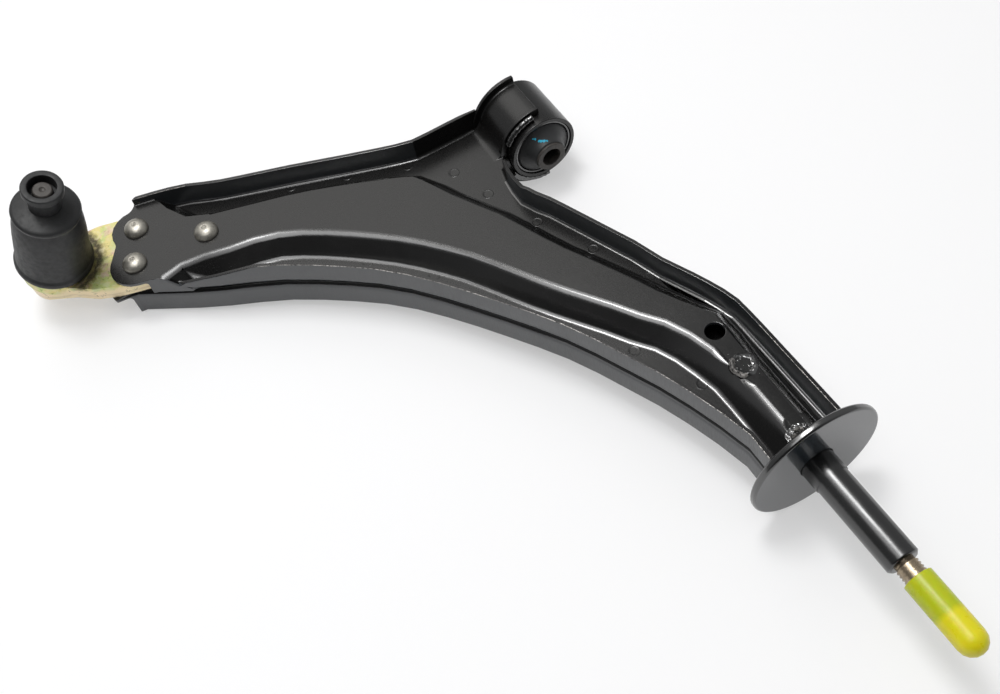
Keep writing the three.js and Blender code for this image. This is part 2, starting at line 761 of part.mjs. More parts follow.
function bootCollar() {
  const grip = studTipRadius + stackGap;
  const bottom = bootNeckHeight + stackGap;
  const floor = bootTop - bootRimDepth;
  return onStud([
    [grip, bottom], [bootNeckRadius, bottom], [bootNeckRadius, bootRimHeight - bootWall / 4],
    [bootRimRadius - bootWall / 2, bootRimHeight], [bootRimRadius, bootRimHeight + bootWall / 2],
    [bootRimRadius, bootTop - bootWall / 2], [bootRimRadius - bootWall / 4, bootTop],
    [bootRimHole, bootTop], [bootRimHole, floor], [grip, floor], [grip, bottom],
  ], 32);
}

function bootFootRing() {
  const middle = bootFootRadius - 2 * bootWall - ringWire - stackGap;
  const height = bootFootHeight + ringWire;
  const section = arc(new THREE.Vector2(middle, height), ringWire, 0, 360, 6);
  return onStud(section.map((p) => [p.x, p.y]), 28);
}

// The arm

function piece(name, geometry, look) {
  const mesh = new THREE.Mesh(geometry, new THREE.MeshStandardMaterial(look));
  mesh.name = name;
  return mesh;
}

const top = piece('top_pressing', toGeometry(topPressing()), black);
top.position.z = stackGap / 2;
const bottom = piece('bottom_pressing', turnedOver(bottomPressing()), black);
bottom.position.z = -stackGap / 2;

const arm = new THREE.Group();
arm.add(
  top,
  bottom,
  piece('rear_pin', rearPin(), black),
  piece('stop_disc', stopDisc(), black),
  piece('thread_cap', threadCap(), yellow),
  piece('pin_plug_weld', plugWeld(), black),
  piece('root_weld', rootBead(), black),
  piece('front_eye', frontEye(), black),
  piece('eye_weld_upper', eyeBead(upperSaddleNear, 95, 150), black),
  piece('eye_weld_lower', eyeBead(lowerSaddleNear, 205, 275), black),
  piece('bush_outer_shell', bushShell(), black),
  piece('bush_rubber', bushRubber(), rubber),
  piece('bush_inner_sleeve', bushSleeve(), steel),
  piece('ball_housing', toGeometry(ballHousing()), zinc),
  piece('ball_seat_upper', seatUpper(), polymer),
  piece('ball_seat_lower', seatLower(), polymer),
  piece('seat_retainer', seatRetainer(), steel),
  piece('ball_stud', ballStud(), steel),
  piece('boot', boot(), rubber),
  piece('boot_collar', bootCollar(), rubber),
  piece('boot_foot_ring', bootFootRing(), steel),
  ...rivetPlaces.map((place, i) => piece(`rivet_${i + 1}`, rivet(place), steel)),
);

const bounds = new THREE.Box3().setFromObject(arm);
const middle = bounds.getCenter(new THREE.Vector3());
arm.position.set(-middle.x, -middle.y, -bounds.min.z);

const model = new THREE.Group();
model.add(arm);
model.updateMatrixWorld(true);

export default model;
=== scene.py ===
"""Looks for the pressed suspension arm: finer surfaces, paint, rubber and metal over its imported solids."""

import math

import bmesh
import bpy
from mathutils import Matrix, Vector, noise


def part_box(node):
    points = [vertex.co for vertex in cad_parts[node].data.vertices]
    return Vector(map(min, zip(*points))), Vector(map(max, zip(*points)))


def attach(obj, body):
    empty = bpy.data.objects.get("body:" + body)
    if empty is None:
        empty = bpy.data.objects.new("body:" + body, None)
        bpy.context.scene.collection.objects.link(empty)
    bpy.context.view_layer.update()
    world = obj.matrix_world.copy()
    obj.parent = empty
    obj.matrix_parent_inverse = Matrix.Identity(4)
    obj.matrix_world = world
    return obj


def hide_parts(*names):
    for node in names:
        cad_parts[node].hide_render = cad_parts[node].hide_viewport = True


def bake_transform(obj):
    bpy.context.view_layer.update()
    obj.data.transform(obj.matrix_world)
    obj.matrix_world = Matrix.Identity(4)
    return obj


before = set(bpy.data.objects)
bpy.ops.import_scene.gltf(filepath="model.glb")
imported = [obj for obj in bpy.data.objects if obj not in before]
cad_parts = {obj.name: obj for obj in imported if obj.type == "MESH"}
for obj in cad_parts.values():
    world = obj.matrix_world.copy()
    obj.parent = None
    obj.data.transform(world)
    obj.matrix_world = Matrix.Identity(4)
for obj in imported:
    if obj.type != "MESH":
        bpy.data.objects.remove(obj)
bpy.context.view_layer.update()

MM = 0.001
UP = Vector((0, 0, 1))
FORWARD = Vector((0, 1, 0))
# From the arm's middle towards its long curved edge.
OUTBOARD = Vector((-0.55, -0.83, 0))

# Places in the row frame. The arm was measured about the middle of the stop disc's rear face.
disc_low, disc_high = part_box("stop_disc")
origin = Vector(((disc_low.x + disc_high.x) / 2, disc_low.y, (disc_low.z + disc_high.z) / 2))


def place(x, y, z):
    """A point given in millimetres from the middle of the disc's rear face."""
    return origin + Vector((x, y, z)) * MM


def measured(point):
    """The millimetres from the middle of the disc's rear face to a point."""
    return (point - origin) / MM


BALL = place(-320, 388, 8.05)
STUD_AXIS = Vector((0.280976, -0.209619, 0.936543))

# The camera: where the photograph was taken from, which way it looked and how long its lens is.
PHOTO_WIDTH = 1000
FOCAL_PIXELS = 1175.111
SENSOR_WIDTH = 36.0
NEAREST_SEEN = 0.01
CAMERA_RIGHT = Vector((0.855824, -0.498940, -0.136472))
CAMERA_DOWN = Vector((-0.486492, -0.686742, -0.540103))
CAMERA_AHEAD = Vector((0.175757, 0.528626, -0.830460))
CAMERA_SHIFT = Vector((172.927, 62.923, 640.935))


def make_camera():
    data = bpy.data.cameras.new("photo_camera")
    data.sensor_width = SENSOR_WIDTH
    data.lens = FOCAL_PIXELS * SENSOR_WIDTH / PHOTO_WIDTH
    data.clip_start = NEAREST_SEEN
    cam = bpy.data.objects.new("photo_camera", data)
    bpy.context.scene.collection.objects.link(cam)
    where = -(CAMERA_RIGHT * CAMERA_SHIFT.x + CAMERA_DOWN * CAMERA_SHIFT.y + CAMERA_AHEAD * CAMERA_SHIFT.z)
    turn = Matrix((CAMERA_RIGHT, -CAMERA_DOWN, -CAMERA_AHEAD)).transposed()
    cam.matrix_world = Matrix.Translation(origin + where * MM) @ turn.to_4x4()
    bpy.context.scene.camera = cam


# Node helpers. A Mix node has sockets for every kind of value, and these are the ones for colours.
MIX_FACTOR = 0
MIX_FIRST = 6
MIX_SECOND = 7
MIX_RESULT = 2


class Nodes:
    """A material's nodes, made one line at a time."""

    def __init__(self, name):
        self.material = bpy.data.materials.new(name)
        self.material.use_nodes = True
        self.tree = self.material.node_tree
        self.tree.nodes.clear()
        self.output = self.tree.nodes.new("ShaderNodeOutputMaterial")
        self.where = self.tree.nodes.new("ShaderNodeTexCoord").outputs["Object"]

    def put(self, socket, value):
        """Links an input to another node's output, or gives it a value."""
        if isinstance(value, bpy.types.NodeSocket):
            self.tree.links.new(value, socket)
        else:
            socket.default_value = value

    def node(self, kind, **inputs):
        made = self.tree.nodes.new(kind)
        for key, value in inputs.items():
            self.put(made.inputs[key.replace("_", " ")], value)
        return made

    def position(self, axis):
        return self.node("ShaderNodeSeparateXYZ", Vector=self.where).outputs[axis]

    def noise(self, scale, detail, rough, where=None, distortion=0.0):
        made = self.node("ShaderNodeTexNoise", Vector=where or self.where, Scale=scale, Detail=detail,
                         Roughness=rough, Distortion=distortion)
        return made.outputs["Fac"]

    def math(self, kind, a, b=0.0):
        made = self.tree.nodes.new("ShaderNodeMath")
        made.operation = kind
        for socket, value in zip(made.inputs, (a, b)):
            self.put(socket, value)
        return made.outputs[0]

    def times(self, a, b):
        return self.math("MULTIPLY", a, b)

    def shaken(self, value, wave, reach):
        """value, moved up and down by a noise of the given reach."""
        return self.math("ADD", value, self.times(self.math("SUBTRACT", wave, 0.5), reach))

    def vector(self, kind, a, b, result="Vector"):
        made = self.tree.nodes.new("ShaderNodeVectorMath")
        made.operation = kind
        for socket, value in zip(made.inputs, (a, b)):
            self.put(socket, value)
        return made.outputs[result]

    def span(self, value, low, high, to_low=0.0, to_high=1.0):
        """value from low..high, moved to to_low..to_high and held there."""
        made = self.node("ShaderNodeMapRange", Value=value, From_Min=low, From_Max=high, To_Min=to_low,
                         To_Max=to_high)
        return made.outputs["Result"]

    def blend(self, factor, first, second):
        made = self.tree.nodes.new("ShaderNodeMix")
        made.data_type = "RGBA"
        for index, value in ((MIX_FACTOR, factor), (MIX_FIRST, first), (MIX_SECOND, second)):
            self.put(made.inputs[index], value)
        return made.outputs[MIX_RESULT]

    def bump(self, height, distance, strength, under=None):
        made = self.node("ShaderNodeBump", Height=height, Distance=distance, Strength=strength)
        if under is not None:
            self.put(made.inputs["Normal"], under)
        return made.outputs["Normal"]

    def finish(self, **inputs):
        shader = self.node("ShaderNodeBsdfPrincipled", **inputs)
        self.tree.links.new(shader.outputs[0], self.output.inputs["Surface"])
        return self.material


def colour_of(red, green, blue):
    return (red, green, blue, 1.0)


def grey(value, warm=0.0):
    return colour_of(value * (1 + warm), value, value * (1 - warm))


# Black paints: the grey that dust adds, the grey of a rub and the depths of the relief.
DUST_LIFT = 0.035
RUB_GREY = 0.05
PEEL_DEPTH = 0.18 * MM
GRAIN_DEPTH = 0.06 * MM
STREAK_DEPTH = 0.14 * MM
# The noise of the draw's marks changes this much slower upwards than sideways, which makes them long.
STREAK_SLOWER = 0.08
# Towards the ball the folds' highlight is painted dimmer, from the first of these distances to the second:
# their mirror shine falls to this share and their roughness rises by this much.
FADE_STARTS = -186
FADE_ENDS = -232
FADED_MIRROR = 0.34
FADED_ROUGHNESS = 0.08
# Towards the disc the paint is thicker, from the first of these distances to the second, and its
# roughness falls by this much.
THICKER_FROM = 120
THICKEST_AT = 60
THICK_GLOSS = 0.13


def paint(name, base=0.0050, rough=0.27, peel=0.30, streaks=0.0, grain=0.30, mirror=0.55, warm=0.03,
          index=1.5, runs=False, fades=False):
    """Black dip paint: a fine grain that softens the gloss, slow orange peel, dust and faint rubs."""
    n = Nodes(name)
    fine = n.noise(2300, 2, 0.6)
    speck = n.noise(1100, 3, 0.65)
    slow = n.noise(150, 2, 0.5)
    patch = n.noise(20, 4, 0.6, distortion=0.6)
    dust = n.times(n.span(patch, 0.42, 0.72), n.span(speck, 0.56, 0.74))
    colour = n.blend(n.times(dust, 0.55), grey(base, warm), grey(base + DUST_LIFT, 0.06))
    level = n.math("ADD", n.span(patch, 0.3, 0.8, -0.03, 0.07), rough)
    # Towards the ball the folds' highlight is painted dimmer.
    if fades:
        ball_end = n.span(n.position("X"), origin.x + FADE_STARTS * MM, origin.x + FADE_ENDS * MM)
        mirror = n.span(ball_end, 0.0, 1.0, mirror, mirror * FADED_MIRROR)
        level = n.math("ADD", level, n.times(ball_end, FADED_ROUGHNESS))
    if runs:
        thick = n.span(n.position("Y"), origin.y + THICKER_FROM * MM, origin.y + THICKEST_AT * MM)
        level = n.math("SUBTRACT", level, n.times(thick, THICK_GLOSS))
    level = n.shaken(level, speck, 0.16)
    normal = n.bump(fine, GRAIN_DEPTH, grain, n.bump(slow, PEEL_DEPTH, peel))
    if streaks:
        upright = n.node("ShaderNodeMapping", Vector=n.where, Scale=(1.0, 1.0, STREAK_SLOWER)).outputs[0]
        lines = n.noise(1500, 3, 0.7, where=upright)
        normal = n.bump(lines, STREAK_DEPTH, streaks, normal)
        colour = n.blend(n.span(lines, 0.58, 0.74, 0.0, 0.5), colour, grey(RUB_GREY, 0.02))
        level = n.math("ADD", level, n.span(lines, 0.4, 0.7, 0.0, 0.12))
    return n.finish(Base_Color=colour, Roughness=level, Specular_IOR_Level=mirror, IOR=index, Normal=normal)


def chipped(name):
    """Thin paint on a sheared edge, chipped through to bright steel in places. On the welds the same bright
    specks are painted glints.
    """
    n = Nodes(name)
    chips = n.noise(620, 3, 0.7)
    run = n.noise(45, 2, 0.5)
    bare = n.times(n.span(chips, 0.40, 0.54), n.span(run, 0.36, 0.56, 0.35, 1.0))
    return n.finish(Base_Color=n.blend(bare, grey(0.02, 0.02), grey(0.42, 0.05)),
                    Metallic=n.times(bare, 0.7), Roughness=0.38, Normal=n.bump(chips, 0.15 * MM, 0.5))


def gloss(name):
    """The pin's thicker, glossier paint, with a few rubs."""
    n = Nodes(name)
    slow = n.noise(180, 2, 0.5)
    speck = n.noise(1500, 3, 0.7)
    patch = n.noise(35, 3, 0.6)
    colour = n.blend(n.span(speck, 0.66, 0.8, 0.0, 0.4), grey(0.0035), grey(0.03, 0.1))
    return n.finish(Base_Color=colour, Roughness=n.span(patch, 0.35, 0.75, 0.20, 0.30),
                    Specular_IOR_Level=1.0, Normal=n.bump(slow, 0.10 * MM, 0.3))


# Yellow zinc, and where its forged edge and its arc of soot and painted shade lie, in millimetres.
BRASS = colour_of(0.74, 0.64, 0.26)
GREEN_FILM = colour_of(0.54, 0.62, 0.22)
PINK_FILM = colour_of(0.70, 0.46, 0.40)
PALE_FILM = colour_of(0.82, 0.78, 0.60)
FORGED_PINK = colour_of(0.93, 0.76, 0.52)
DIE_BROWN = colour_of(0.42, 0.30, 0.18)
SOOT_AND_SHADE_BLACK = colour_of(0.024, 0.016, 0.010)
PIT_BROWN = colour_of(0.16, 0.12, 0.07)
EDGE_TOP = 10
EDGE_FOOT = 7
DIE_LINE = 3
SOOT_SHADE_RADIUS = 27.8
SOOT_SHADE_STARTS = -326
SOOT_SHADE_FULL = -310


def forged_edge(n, drift, ground):
    """The forged edge is pinker, with the wavy line where the dies met."""
    height = n.shaken(n.position("Z"), drift, 4 * MM)
    low = n.span(height, origin.z + EDGE_TOP * MM, origin.z + EDGE_FOOT * MM)
    ground = n.blend(n.times(low, 0.8), ground, FORGED_PINK)
    line = n.math("ABSOLUTE", n.math("SUBTRACT", height, origin.z + DIE_LINE * MM))
    return low, n.blend(n.span(line, 1.4 * MM, 0.2 * MM, 0.0, 0.28), ground, DIE_BROWN)


def soot_and_shade_arc(n, fine, mid, low):
    """A ragged arc of soot and painted shade round the stud's axis, on the arm's side and above the forged
    edge.
    """
    away = n.vector("CROSS_PRODUCT", n.vector("SUBTRACT", n.where, BALL), STUD_AXIS)
    radius = n.shaken(n.vector("LENGTH", away, (0, 0, 0), "Value"), mid, 10 * MM)
    ring = n.math("ABSOLUTE", n.math("SUBTRACT", radius, SOOT_SHADE_RADIUS * MM))
    soot_shade = n.times(n.span(ring, 5.2 * MM, 0.8 * MM), n.span(fine, 0.25, 0.50, 0.6, 1.0))
    side = n.span(n.position("X"), origin.x + SOOT_SHADE_STARTS * MM, origin.x + SOOT_SHADE_FULL * MM)
    return n.times(n.times(soot_shade, side), n.span(low, 1.0, 0.0))


def zinc(name):
    """Yellow passivated zinc: pale brass that drifts to green and pink, with an arc of soot and painted shade
    by the boot.
    """
    n = Nodes(name)
    drift = n.noise(62, 3, 0.55, distortion=1.2)
    other = n.noise(85, 3, 0.6, distortion=0.8)
    fine = n.noise(1300, 4, 0.7)
    mid = n.noise(240, 4, 0.65)
    ground = n.blend(n.span(drift, 0.42, 0.58), BRASS, GREEN_FILM)
    ground = n.blend(n.span(other, 0.55, 0.66, 0.0, 0.7), ground, PINK_FILM)
    ground = n.blend(n.span(mid, 0.48, 0.7, 0.0, 0.55), ground, PALE_FILM)
    low, ground = forged_edge(n, drift, ground)
    # The arc by the boot darkens the zinc with soot and with painted shade.
    soot_shade = soot_and_shade_arc(n, fine, mid, low)
    ground = n.blend(n.times(soot_shade, 0.93), ground, SOOT_AND_SHADE_BLACK)
    ground = n.blend(n.span(fine, 0.62, 0.76, 0.0, 0.55), ground, PIT_BROWN)
    level = n.math("ADD", n.span(mid, 0.3, 0.7, 0.24, 0.40), n.times(soot_shade, 0.2))
    return n.finish(Base_Color=ground, Metallic=0.35, Roughness=level,
                    Normal=n.bump(fine, 0.08 * MM, 0.5, n.bump(mid, 0.3 * MM, 0.35)))


# Steels.
STEEL_SPOTS = colour_of(0.10, 0.085, 0.065)
SPOT_SHARE = 0.55
FILM_SHADE = 0.72
PHOSPHATE_DARK = colour_of(0.042, 0.038, 0.035)
PHOSPHATE_LIGHT = colour_of(0.066, 0.060, 0.054)
PHOSPHATE_SPECKS = colour_of(0.14, 0.12, 0.10)


def steel(name, tone, rough):
    """Plain steel with a fine satin grain, a warm film and darker spots."""
    n = Nodes(name)
    fine = n.noise(2200, 3, 0.7)
    mid = n.noise(480, 4, 0.65)
    patch = n.noise(110, 3, 0.6)
    base = n.blend(n.span(patch, 0.35, 0.7), colour_of(*tone), colour_of(*(v * FILM_SHADE for v in tone)))
    base = n.blend(n.span(mid, 0.54, 0.72, 0.0, SPOT_SHARE), base, STEEL_SPOTS)
    level = n.math("ADD", n.span(fine, 0.3, 0.7, -0.06, 0.08), rough)
    return n.finish(Base_Color=base, Metallic=0.9, Roughness=level,
                    Normal=n.bump(fine, 0.06 * MM, 0.6, n.bump(mid, 0.12 * MM, 0.4)))


def phosphate(name):
    """Dull dark steel, oiled: the bush's sleeve and the end of the stud."""
    n = Nodes(name)
    fine = n.noise(1800, 3, 0.7)
    patch = n.noise(160, 3, 0.6)
    colour = n.blend(n.span(patch, 0.35, 0.7), PHOSPHATE_DARK, PHOSPHATE_LIGHT)
    colour = n.blend(n.span(fine, 0.6, 0.75, 0.0, 0.5), colour, PHOSPHATE_SPECKS)
    return n.finish(Base_Color=colour, Metallic=0.2, Roughness=n.span(fine, 0.3, 0.7, 0.42, 0.60),
                    Specular_IOR_Level=0.5, Normal=n.bump(fine, 0.08 * MM, 0.5))


# Rubber and plastics.
DAB_BLUE = colour_of(0.03, 0.42, 0.62)
CAP_YELLOW = colour_of(0.74, 0.66, 0.008)
CAP_GREEN = colour_of(0.46, 0.52, 0.006)
CAP_DULL = colour_of(0.62, 0.60, 0.02)
# Between these two distances behind the disc the cap turns from its empty end to where the thread fills it.
THREAD_ENDS = -105
THREAD_FILLS = -101.5
# A dab's edge wanders over the first share of its reach, and its full colour ends at the second.
DAB_WANDER = 1.6
DAB_CORE = 0.75


def rubber(name, base=0.013, rough=0.52, dust=0.055, dabs=()):
    """Moulded rubber: a soft grain with pale bloom where it was handled, and dabs of a checker's paint."""
    n = Nodes(name)
    fine = n.noise(1900, 3, 0.65)
    mid = n.noise(320, 3, 0.6)
    patch = n.noise(45, 4, 0.6, distortion=0.5)
    colour = n.blend(n.span(patch, 0.4, 0.72, 0.0, 0.5), grey(base, -0.03), grey(base * 1.6, -0.04))
    colour = n.blend(n.span(fine, 0.62, 0.76, 0.0, 0.5), colour, grey(dust))
    level = n.math("ADD", n.span(mid, 0.3, 0.7, -0.08, 0.10), rough)
    for centre, size in dabs:
        reach = size * MM
        away = n.vector("DISTANCE", n.where, centre, "Value")
        ragged = n.shaken(away, n.noise(900, 3, 0.6), reach * DAB_WANDER)
        colour = n.blend(n.span(ragged, reach, reach * DAB_CORE), colour, DAB_BLUE)
    return n.finish(Base_Color=colour, Roughness=level, Specular_IOR_Level=0.45,
                    Normal=n.bump(fine, 0.06 * MM, 0.7, n.bump(mid, 0.12 * MM, 0.35)))


def vinyl(name):
    """The dipped yellow cap: soft, faintly see-through vinyl, greener where the thread fills it."""
    n = Nodes(name)
    mid = n.noise(160, 3, 0.6)
    fine = n.noise(1500, 2, 0.6)
    along = n.shaken(n.position("Y"), mid, 3 * MM)
    cover = n.span(along, origin.y + THREAD_ENDS * MM, origin.y + THREAD_FILLS * MM)
    colour = n.blend(cover, CAP_YELLOW, CAP_GREEN)
    colour = n.blend(n.span(mid, 0.5, 0.75, 0.0, 0.35), colour, CAP_DULL)
    return n.finish(Base_Color=colour, Roughness=n.span(mid, 0.3, 0.7, 0.26, 0.38), Specular_IOR_Level=0.5,
                    Subsurface_Weight=0.2, Subsurface_Scale=4 * MM,
                    Normal=n.bump(mid, 0.2 * MM, 0.25, n.bump(fine, 0.03 * MM, 0.3)))


def acetal(name):
    """The pale plastic of the ball's seats."""
    n = Nodes(name)
    mid = n.noise(300, 3, 0.6)
    return n.finish(Base_Color=n.blend(mid, colour_of(0.78, 0.74, 0.64), colour_of(0.70, 0.66, 0.55)),
                    Roughness=n.span(mid, 0.3, 0.7, 0.38, 0.5), Normal=n.bump(mid, 0.1 * MM, 0.3))


TABLE_WHITE = colour_of(0.93, 0.93, 0.94)
# How much of the table is plain white to the camera and to mirrors. The rest keeps the shadow.
WHITE_SHARE = 0.45


def table_finish(name):
    """Near-white tabletop. The camera and mirrors see it a little lighter than it lights the arm."""
    n = Nodes(name)
    shade = n.node("ShaderNodeBsdfDiffuse", Color=TABLE_WHITE)
    glow = n.node("ShaderNodeEmission", Color=colour_of(1, 1, 1), Strength=1.0)
    path = n.tree.nodes.new("ShaderNodeLightPath").outputs
    mirrored = n.math("MAXIMUM", path["Is Glossy Ray"], path["Is Transmission Ray"])
    seen = n.math("MAXIMUM", path["Is Camera Ray"], mirrored)
    mixed = n.tree.nodes.new("ShaderNodeMixShader")
    for socket, value in zip(mixed.inputs, (n.times(seen, WHITE_SHARE), shade.outputs[0], glow.outputs[0])):
        n.put(socket, value)
    n.tree.links.new(mixed.outputs[0], n.output.inputs["Surface"])
    return n.material


# Building pieces: points closer than these are joined, in a pressing and in any other node.
PRESSING_MERGED = 0.02 * MM
NODE_MERGED = 0.004 * MM
# How strongly the normals of large faces win over those of small ones.
FLAT_FACE_WEIGHT = 60


def linked(name, mesh, material, body, slot, *replaced):
    """Puts a mesh into the scene on its body, with its materials, in place of the nodes it replaces."""
    obj = bpy.data.objects.new(name, mesh)
    bpy.context.scene.collection.objects.link(obj)
    for one in material if isinstance(material, tuple) else (material,):
        mesh.materials.append(one)
    if body:
        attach(obj, body)
    if replaced:
        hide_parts(*replaced)
    return obj


def mesh_of(bm, name):
    """Ends a bmesh as a mesh with smooth faces."""
    mesh = bpy.data.meshes.new(name)
    bm.to_mesh(mesh)
    bm.free()
    mesh.polygons.foreach_set("use_smooth", [True] * len(mesh.polygons))
    return mesh


def weighted(mesh, soft):
    """Shades a mesh smooth over bends of up to soft degrees, with flat faces kept flat."""
    mesh.set_sharp_from_angle(angle=math.radians(soft))
    loose = bpy.data.objects.new("loose", mesh)
    bpy.context.scene.collection.objects.link(loose)
    made = loose.modifiers.new("normals", "WEIGHTED_NORMAL")
    made.keep_sharp = True
    made.weight = FLAT_FACE_WEIGHT
    view = bpy.context.evaluated_depsgraph_get()
    evaluated = loose.evaluated_get(view)
    shaded = bpy.data.meshes.new_from_object(evaluated, preserve_all_data_layers=True, depsgraph=view)
    bpy.data.objects.remove(loose)
    return shaded


def split_faces(mesh, *choices):
    """Gives the faces that the first choice picks the mesh's second material, and so on."""
    for face in mesh.polygons:
        for index, chosen in enumerate(choices):
            if chosen(face.center, face.normal):
                face.material_index = index + 1
                break
    return mesh


def fold_angle(edge):
    return math.degrees(edge.calc_face_angle(0.0)) if len(edge.link_faces) == 2 else 0.0


def face_reach(edge, face):
    """How far a face reaches from one of its edges."""
    start = edge.verts[0].co
    along = (edge.verts[1].co - start).normalized()
    return max(((v.co - start) - along * (v.co - start).dot(along)).length for v in face.verts)


SHORTEST_EDGE = 0.4 * MM


def roomy(edge, need):
    """Whether both faces beside an edge reach further than the millimetres that its rounding needs."""
    if edge.calc_length() <= SHORTEST_EDGE:
        return False
    return all(face_reach(edge, face) > need * MM for face in edge.link_faces)


# The raised panel's top and the foot of the strip round it, in millimetres over the disc's middle.
PANEL_TOP = 14.15
FOLD_FOOT = 12.75
SAME_HEIGHT = 0.05
# A wall's normal points up by a share between these two, and its area in square metres is more than this.
WALL_UPRIGHT = 0.2
WALL_FLAT = 0.93
WALL_AREA = 1e-6
# A wall ends less than this many millimetres over the strip, and no corner is moved further than this.
WALL_SLACK = 0.1
FURTHEST_MOVE = 2.5 * MM
# Edges bent by less than these degrees go: the first along the foot of the panel, the second in any node.
STRAIGHT = 4
FACET = 0.6
# The corner of the panel that runs out into the far flange lies past these two distances.
RIVET_CORNER = (-225, 380)
# Roundings in millimetres: (offset, segments) of the panel's near and far folds, and the room they need.
NEAR_FOLD = (3.4, 6)
FAR_FOLD = (1.0, 3)
PANEL_FOLD_ROOM = 3.8
INNER_CORNER = 1.5
INNER_CORNER_ROOM = 2.4
# The faces beside a rounded bend or a rounded cut edge reach further than its width times these.
BEND_ROOM = 1.9
CUT_ROOM = 1.2
# Angles in degrees: the panel's folds lie between the first two, a pressing's bends between the next two.
# Past those come its cut edges and, up to the last angle, its inner corners.
PANEL_FOLD_LEAST = 20
PANEL_FOLD_MOST = 80
BEND = 30
PRESSING_CUT = 76
INNER_CORNER_MOST = 100
# The cut edges of any other node are bent by at least these degrees.
NODE_CUT = 32
# A normal that points up more than this belongs to the flat panel.
LEVEL = 0.98


def height_of(v):
    return (v.co.z - origin.z) / MM


def at_height(v, height):
    return abs(height_of(v) - height) <= SAME_HEIGHT


def beside_rivets(v):
    at = measured(v.co)
    return at.x < RIVET_CORNER[0] and at.y > RIVET_CORNER[1]


def wall_below(face):
    """Whether a face is one of the walls under the strip round the raised panel."""
    if not WALL_UPRIGHT < face.normal.z < WALL_FLAT or face.calc_area() <= WALL_AREA:
        return False
    return max(map(height_of, face.verts)) < FOLD_FOOT + WALL_SLACK


def wall_reach(v):
    """Where the wall under a corner of the panel meets the panel's height, or None."""
    feet = [e.other_vert(v) for e in v.link_edges if at_height(e.other_vert(v), FOLD_FOOT)]
    if not feet:
        return None
    foot = min(feet, key=lambda other: (other.co - v.co).length)
    walls = [face.normal for face in foot.link_faces if wall_below(face)]
    if not walls:
        return None
    slope = sum(walls, Vector()).normalized()
    rise = UP - slope * slope.z
    return foot.co + rise * ((v.co.z - foot.co.z) / rise.z)


def squared(bm):
    """Carries the walls under the raised panel straight up to its top, ready for one round bend."""
    moves = []
    for v in bm.verts:
        if at_height(v, PANEL_TOP) and not beside_rivets(v):
            top = wall_reach(v)
            if top is not None and (top - v.co).length < FURTHEST_MOVE:
                moves.append((v, top))
    for v, top in moves:
        v.co = top
    bm.normal_update()
    feet = [e for e in bm.edges if fold_angle(e) < STRAIGHT and all(at_height(v, FOLD_FOOT) for v in e.verts)]
    bmesh.ops.dissolve_edges(bm, edges=feet, use_verts=True)


def panel_folds(bm, near):
    """The edges round the raised panel's top: those on the near side, or the others."""
    found = []
    for edge in bm.edges:
        folded = PANEL_FOLD_LEAST < fold_angle(edge) < PANEL_FOLD_MOST
        if not (folded and edge.is_convex and roomy(edge, PANEL_FOLD_ROOM)):
            continue
        if not all(at_height(v, PANEL_TOP) and not beside_rivets(v) for v in edge.verts):
            continue
        walls = [face.normal for face in edge.link_faces if face.normal.z < LEVEL]
        if len(walls) == 1 and (walls[0].dot(OUTBOARD) > 0) == near:
            found.append(edge)
    return found


def round_off(bm, edges, offset, segments=4, clamp=False):
    bmesh.ops.bevel(bm, geom=edges, offset=offset * MM, offset_type="OFFSET", segments=segments,
                    profile=0.5, affect="EDGES", clamp_overlap=clamp)


def round_folds(bm, fold):
    """Rounds a pressing's bends by fold millimetres, and its steep inner corners."""
    bends = [e for e in bm.edges if BEND < fold_angle(e) < PRESSING_CUT and roomy(e, fold * BEND_ROOM)]
    round_off(bm, bends, fold)
    corners = [e for e in bm.edges if PRESSING_CUT <= fold_angle(e) < INNER_CORNER_MOST and not e.is_convex]
    round_off(bm, [e for e in corners if roomy(e, INNER_CORNER_ROOM)], INNER_CORNER)


def refined(node, width=0.35, fold=0.0, soft=48):
    """A node's surface with its points joined, its folds and cut edges rounded and its bends smooth."""
    bm = bmesh.new()
    bm.from_mesh(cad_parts[node].data)
    bmesh.ops.remove_doubles(bm, verts=bm.verts, dist=PRESSING_MERGED if fold else NODE_MERGED)
    bmesh.ops.dissolve_limit(bm, angle_limit=math.radians(FACET), verts=bm.verts, edges=bm.edges)
    if node == "top_pressing":
        squared(bm)
        round_off(bm, panel_folds(bm, True), *NEAR_FOLD)
        round_off(bm, panel_folds(bm, False), *FAR_FOLD)
    if fold:
        round_folds(bm, fold)
    if width:
        sharp = PRESSING_CUT if fold else NODE_CUT
        cuts = [e for e in bm.edges if fold_angle(e) >= sharp and roomy(e, width * CUT_ROOM)]
        round_off(bm, cuts, width, 2, clamp=not fold)
    return weighted(mesh_of(bm, "refined_" + node), soft)


def ring_of(bm, middle, radius, side, other, steps):
    """A ring of points round middle, or the one point there for a radius of nothing."""
    if radius == 0:
        return [bm.verts.new(middle)]
    turns = (2 * math.pi * i / steps for i in range(steps))
    return [bm.verts.new(middle + (side * math.cos(a) + other * math.sin(a)) * (radius * MM)) for a in turns]


def skin(bm, one, two, steps):
    """Faces between two rings, either of which may be a single point."""
    for i in range(steps):
        j = (i + 1) % steps
        corners = [one[i % len(one)], two[i % len(two)], two[j % len(two)], one[j % len(one)]]
        kept = list(dict.fromkeys(corners))
        if len(kept) > 2:
            bm.faces.new(kept)


# Turned bodies are smooth over bends of up to these degrees.
TURNED_SOFT = 40


